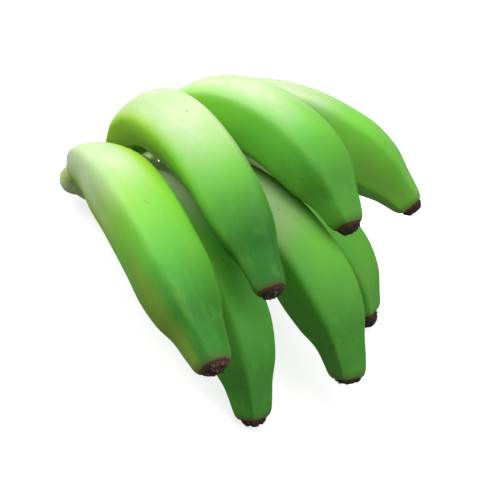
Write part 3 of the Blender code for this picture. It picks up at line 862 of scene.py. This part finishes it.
def dry_end_tree(material):
    """Turns the cap of one dry end, crumples it, and sets dry scraps round its edge."""
    tree, given = new_tree("dry_end", {
        "Sides": "Int", "First Ridge": "Float", "Broad": "Float", "Middle": "Float", "Lump": "Float",
        "Crumb": "Float", "Scraps": "Int", "Scrap Length": "Float", "Scrap Width": "Float",
        "Flaky": "Float", "Seed": "Int"})
    cap = swept(given["Path"], given["Sides"])
    step, wide, share = named(tree, "step"), named(tree, "girth"), named(tree, "share")
    section, _ = five_sided(step, RIDGE_SHARPNESS)
    turn = spaced(step, given)
    outward, side = named(tree, "outward", "FLOAT_VECTOR"), named(tree, "side", "FLOAT_VECTOR")
    heading = named(tree, "heading", "FLOAT_VECTOR")
    around = outward * calc("COSINE", turn) + side * calc("SINE", turn)
    smooth = named(tree, "centre", "FLOAT_VECTOR") + around * (wide * (1 + 0.5 * (section - 1)))
    place = smooth + given["Seed"] * DRY_PATTERN
    lumps = noise(place, LUMP_SCALE, 2, 0.5) - 0.5
    folds = node(tree, "ShaderNodeTexVoronoi", {"Vector": place, "Scale": FOLD_SCALE}, feature="F1")
    crumbs = 0.55 - folds + (noise(place, CRUMB_SCALE, 2, 0.6) - 0.5) * 0.8
    raised = crumbs + lumps * 0.8 + 0.35
    push = (lumps * given["Lump"] * 2 + crumbs * given["Crumb"] * 1.6) * named(tree, "free")
    cap = keep(cap, raised=raised, flaky=given["Flaky"], rim=1 - fade(share, 0.0, 0.5))
    cap = node(tree, "GeometryNodeSetPosition", {
        "Geometry": cap, "Position": smooth + (around * 0.6 + heading * 0.8) * push})

    number = node(tree, "GeometryNodeInputIndex")
    spread = drawn(-0.5, 0.5, number, given["Seed"])
    round_edge = (number + spread) / given["Scraps"] * math.tau
    edge = {}
    for key in ("centre", "outward", "side", "heading", "girth"):
        kind = "FLOAT" if key == "girth" else "FLOAT_VECTOR"
        edge[key] = node(tree, "GeometryNodeSampleIndex", {
            "Geometry": given["Path"], "Value": named(tree, key, kind), "Index": SCRAP_ROW}, data_type=kind)
    out = edge["outward"] * calc("COSINE", round_edge) + edge["side"] * calc("SINE", round_edge)
    inset = edge["girth"] * drawn(*SCRAP_PLACE, number, given["Seed"] + 7)
    places = node(tree, "GeometryNodePoints", {"Count": given["Scraps"], "Radius": MM})
    places = node(tree, "GeometryNodeSetPosition", {
        "Geometry": places, "Position": edge["centre"] + out * inset})

    flat = node(tree, "GeometryNodeMeshGrid", {
        "Size X": given["Scrap Length"], "Size Y": given["Scrap Width"],
        "Vertices X": SCRAP_GRID[0], "Vertices Y": SCRAP_GRID[1]})
    split = node(tree, "ShaderNodeSeparateXYZ", [node(tree, "GeometryNodeInputPosition")])
    run, across = split / given["Scrap Length"] + 0.5, split.other("Y")
    curl = calc("SINE", run * SCRAP_TURN) * given["Scrap Length"] * SCRAP_CURL
    hollow = (across / given["Scrap Width"]) ** 2 * given["Scrap Width"] * SCRAP_HOLLOW
    curled = node(tree, "ShaderNodeCombineXYZ", [
        run * given["Scrap Length"], across * (1 - run ** 1.5 * SCRAP_TAPER), curl + hollow])
    leaf = node(tree, "GeometryNodeSetPosition", {"Geometry": flat, "Position": curled})
    thick = node(tree, "GeometryNodeExtrudeMesh", {
        "Mesh": leaf, "Offset Scale": SCRAP_THICKNESS, "Individual": False})
    scrap = joined(thick, node(tree, "GeometryNodeFlipFaces", {"Mesh": leaf}))
    lift = drawn(*SCRAP_LIFT, number, given["Seed"] + 3)
    turned = node(tree, "FunctionNodeAxesToRotation", {
        "Primary Axis": edge["heading"] * lift + out * (1 - lift * 0.8),
        "Secondary Axis": out * lift - edge["heading"] * (1 - lift)},
        primary_axis="X", secondary_axis="Z")
    size = drawn(*SCRAP_SIZE, number, given["Seed"] + 5)
    scraps = node(tree, "GeometryNodeInstanceOnPoints", {
        "Points": places, "Instance": scrap, "Rotation": turned, "Scale": size * (1, 1, 1)})
    scraps = node(tree, "GeometryNodeRealizeInstances", {"Geometry": scraps})
    crumple = noise(node(tree, "GeometryNodeInputPosition"), CRUMPLE_SCALE, 2, 0.6)
    scraps = keep(scraps, raised=crumple + 0.1, flaky=given["Flaky"])
    finish_tree(joined(cap, scraps), material)
    return tree


dry_finish = dry_flower()
dry_ends = dry_end_tree(dry_finish)
width_shares, length_shares = np.array(DRY_SHAPE).T
rows = np.linspace(0, len(DRY_SHAPE) - 1, (len(DRY_SHAPE) - 1) * DRY_BETWEEN + 1)
dry_width = np.interp(rows, np.arange(len(DRY_SHAPE)), width_shares)
dry_rise = np.interp(rows, np.arange(len(DRY_SHAPE)), length_shares)
for number, (label, finger) in enumerate(FINGERS.items()):
    last = skin_end(finger)
    here, heading, outward, side = spine(finger, np.full(len(rows), last))
    place = here + heading * (dry_rise * finger["tip_length"] * MM)[:, None]
    path = path_mesh(
        label + "_dry_path", place, centre=place, girth=dry_width * girth(finger, np.array([last]))[0],
        outward=outward, side=np.tile(side, (len(rows), 1)), heading=heading, share=dry_rise,
        free=np.clip(dry_rise * 6 + 0.3, 0, 1))
    ridge = math.radians(finger["ridge"] + finger["twist"] * last)
    piece = grow(label + "_dry_end", path, dry_ends, {
        "Sides": DRY_SIDES, "First Ridge": ridge, "Broad": math.radians(finger["broad"]),
        "Middle": math.radians(finger["middle"]), "Lump": DRY_LUMP, "Crumb": DRY_CRUMB, "Scraps": SCRAPS,
        "Scrap Length": SCRAP_LENGTH, "Scrap Width": SCRAP_WIDTH, "Flaky": FLAKY.get(label, LESS_FLAKY),
        "Seed": number + 1})
    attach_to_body(piece, "root")
    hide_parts(label + "_tip")

# Studio
# A wide pale floor without an edge to see, under four soft round lamps. The floor gives off a
# little light, so that shadows stay faint on it, and none of it reaches the fruit.

FLOOR_SIDE = 40.0
FLOOR_GREY = 0.45
FLOOR_GLOW = 0.73
FLOOR_ROUGHNESS = 0.9
LAMP_SIZE = 1.0
LAMP_DISTANCE = 1.5
LAMPS = {  # degrees clockwise from behind the hand, degrees above the floor, watts
    "left_lamp": (270, 30, 22),
    "back_lamp": (325, 42, 9),
    "top_lamp": (200, 78, 7),
    "right_lamp": (100, 50, 4),
}
# Brightness of the surroundings under the floor's edge, at the horizon and higher up, and the
# heights between which it changes
BELOW, HORIZON, ABOVE = 0.2, 0.92, 0.42
UNDER_EDGE = (-0.07, -0.03)
OVER_EDGE = (0.03, 0.2)

bpy.ops.mesh.primitive_plane_add(size=FLOOR_SIDE)
floor = bpy.context.object
floor.name = "floor"
floor.visible_diffuse = False
floor.visible_glossy = False
floor_finish, _, floor_shader = paint("floor")
floor_shader.inputs["Roughness"].default_value = FLOOR_ROUGHNESS
floor_shader.inputs["Base Color"].default_value = (FLOOR_GREY, FLOOR_GREY, FLOOR_GREY, 1)
floor_shader.inputs["Specular IOR Level"].default_value = 0
floor_shader.inputs["Emission Color"].default_value = (1, 1, 1, 1)
floor_shader.inputs["Emission Strength"].default_value = FLOOR_GLOW
floor.data.materials.append(floor_finish)

for name, (clockwise, above, watts) in LAMPS.items():
    lamp = bpy.data.lights.new(name, "AREA")
    lamp.shape = "DISK"
    lamp.size = LAMP_SIZE
    lamp.energy = watts
    holder = bpy.data.objects.new(name, lamp)
    bpy.context.scene.collection.objects.link(holder)
    turn, lift = math.radians(clockwise), math.radians(above)
    away = Vector((math.sin(turn) * math.cos(lift), math.cos(turn) * math.cos(lift), math.sin(lift)))
    holder.location = away * LAMP_DISTANCE
    holder.rotation_mode = "QUATERNION"
    holder.rotation_quaternion = away.to_track_quat("Z", "Y")

world = bpy.data.worlds.new("studio")
world.use_nodes = True
sky = world.node_tree
height = node(sky, "ShaderNodeSeparateXYZ", [node(sky, "ShaderNodeTexCoord")]).other("Z")
strength = fade(height, *UNDER_EDGE, BELOW, HORIZON) + fade(height, *OVER_EDGE, 0.0, ABOVE - HORIZON)
sky.links.new(strength.socket, sky.nodes["Background"].inputs["Strength"])
sky.nodes["Background"].inputs["Color"].default_value = (1, 1, 1, 1)
bpy.context.scene.world = world
bpy.context.scene.view_settings.view_transform = "Standard"

# Camera
# It looks down on the hand from in front, turned on its side so that the fingers hang to the
# lower right of the picture.

CAMERA_PLACE = (0.0168, -0.5006, 0.3926)
CAMERA_TURN = 0.18
CAMERA_DOWN = 34.38
CAMERA_ROLL = 28.73
CAMERA_LENS = 77.2
CAMERA_FILM = 36

turn, down, roll = (math.radians(angle) for angle in (CAMERA_TURN, CAMERA_DOWN, CAMERA_ROLL))
lens = bpy.data.cameras.new("camera")
lens.lens = CAMERA_LENS
lens.sensor_width = CAMERA_FILM
camera = bpy.data.objects.new("camera", lens)
bpy.context.scene.collection.objects.link(camera)
camera.matrix_world = (
    Matrix.Translation(CAMERA_PLACE) @ Matrix.Rotation(turn, 4, "Z")
    @ Matrix.Rotation(math.pi / 2 - down, 4, "X") @ Matrix.Rotation(roll, 4, "Z"))
bpy.context.scene.camera = camera
